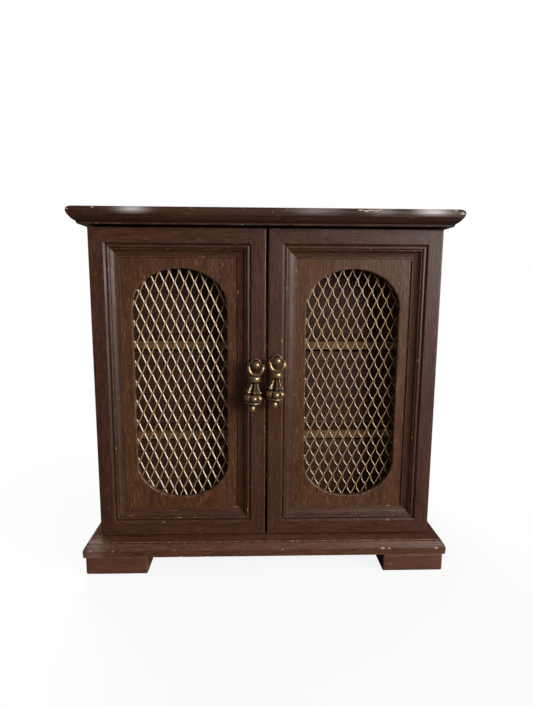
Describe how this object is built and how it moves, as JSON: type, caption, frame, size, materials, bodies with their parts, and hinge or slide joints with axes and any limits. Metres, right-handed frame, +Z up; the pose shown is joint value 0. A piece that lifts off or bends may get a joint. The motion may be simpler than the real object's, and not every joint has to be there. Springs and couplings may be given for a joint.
{
  "type": "jewelry armoire",
  "caption": "Small dark walnut cabinet with framed doors, arched wire-mesh windows, brass drop pulls, velvet-lined drawers, a moulded cap and base, and block feet.",
  "frame": {"origin": "on the surface the feet stand on, under the middle of the whole object's box", "axes": "+Z up, +X to the right when facing the doors, -Y out of the doors towards the user"},
  "size_m": [0.256, 0.1426, 0.2517],
  "materials": {
    "frame_walnut": "dark walnut stain, satin lacquer, light nicks along the edges",
    "panel_walnut": "dark walnut veneer, satin, grain upright",
    "case_walnut": "dark walnut stain, satin, chipped arrises",
    "base_walnut": "dark walnut stain, satin, chipped arrises",
    "drawer_walnut": "dark walnut stain, satin",
    "shelf_wood": "golden brown wood, satin",
    "drawer_wood": "plain unstained wood",
    "velvet": "dark red velvet pile",
    "antique_brass": "antiqued brass, dark in the crevices, worn bright on the high spots",
    "mesh_metal": "brassed expanded metal, satin",
    "strike_steel": "plain steel",
    "catch_plastic": "matte dark brown"
  },
  "bodies": {
    "root": {"base_board": "base_walnut", "foot_front_left": "base_walnut", "foot_front_right": "base_walnut", "foot_back_left": "base_walnut", "foot_back_right": "base_walnut", "side_panel_left": "case_walnut", "side_panel_right": "case_walnut", "back_panel": "case_walnut", "top_panel": "case_walnut", "cap_board": "case_walnut", "drawer_shelf_lower": "shelf_wood", "drawer_shelf_upper": "shelf_wood", "magnet_catch": "catch_plastic", "case_hinge_leaf_left_upper": "antique_brass", "case_hinge_leaf_left_lower": "antique_brass", "case_hinge_leaf_right_upper": "antique_brass", "case_hinge_leaf_right_lower": "antique_brass"},
    "door_left": {"door_left_hinge_stile": "frame_walnut", "door_left_meeting_stile": "frame_walnut", "door_left_top_rail": "frame_walnut", "door_left_bottom_rail": "frame_walnut", "door_left_window_panel": "panel_walnut", "door_left_grille": "mesh_metal", "door_left_strike_plate": "strike_steel", "door_left_hinge_leaf_upper": "antique_brass", "door_left_hinge_leaf_lower": "antique_brass", "pull_left_post": "antique_brass"},
    "pull_left": {"pull_left_pendant": "antique_brass"},
    "door_right": {"door_right_hinge_stile": "frame_walnut", "door_right_meeting_stile": "frame_walnut", "door_right_top_rail": "frame_walnut", "door_right_bottom_rail": "frame_walnut", "door_right_window_panel": "panel_walnut", "door_right_grille": "mesh_metal", "door_right_strike_plate": "strike_steel", "door_right_hinge_leaf_upper": "antique_brass", "door_right_hinge_leaf_lower": "antique_brass", "pull_right_post": "antique_brass"},
    "pull_right": {"pull_right_pendant": "antique_brass"},
    "drawer_top": {"drawer_top_front": "drawer_walnut", "drawer_top_side_left": "drawer_wood", "drawer_top_side_right": "drawer_wood", "drawer_top_back": "drawer_wood", "drawer_top_floor": "drawer_wood", "drawer_top_lining": "velvet", "drawer_top_knob": "antique_brass"},
    "drawer_middle": {"drawer_middle_front": "drawer_walnut", "drawer_middle_side_left": "drawer_wood", "drawer_middle_side_right": "drawer_wood", "drawer_middle_back": "drawer_wood", "drawer_middle_floor": "drawer_wood", "drawer_middle_lining": "velvet", "drawer_middle_knob": "antique_brass"},
    "drawer_bottom": {"drawer_bottom_front": "drawer_walnut", "drawer_bottom_side_left": "drawer_wood", "drawer_bottom_side_right": "drawer_wood", "drawer_bottom_back": "drawer_wood", "drawer_bottom_floor": "drawer_wood", "drawer_bottom_lining": "velvet", "drawer_bottom_knob": "antique_brass"}
  },
  "joints": [
    {"name": "door_left_hinge", "type": "hinge", "parent": "root", "child": "door_left", "pos_m": [-0.1198, -0.04555, 0.13175], "axis": [0, 0, -1], "range_deg": [0, 170]},
    {"name": "door_right_hinge", "type": "hinge", "parent": "root", "child": "door_right", "pos_m": [0.1198, -0.04555, 0.13175], "axis": [0, 0, 1], "range_deg": [0, 170]},
    {"name": "pull_left_swing", "type": "hinge", "parent": "door_left", "child": "pull_left", "pos_m": [-0.0075, -0.0611, 0.1489], "axis": [-1, 0, 0], "range_deg": [0, 85]},
    {"name": "pull_right_swing", "type": "hinge", "parent": "door_right", "child": "pull_right", "pos_m": [0.0068, -0.0611, 0.1517], "axis": [-1, 0, 0], "range_deg": [0, 85]},
    {"name": "drawer_top_slide", "type": "slide", "parent": "root", "child": "drawer_top", "axis": [0, -1, 0], "range_m": [0, 0.005]},
    {"name": "drawer_middle_slide", "type": "slide", "parent": "root", "child": "drawer_middle", "axis": [0, -1, 0], "range_m": [0, 0.005]},
    {"name": "drawer_bottom_slide", "type": "slide", "parent": "root", "child": "drawer_bottom", "axis": [0, -1, 0], "range_m": [0, 0.005]}
  ]
}
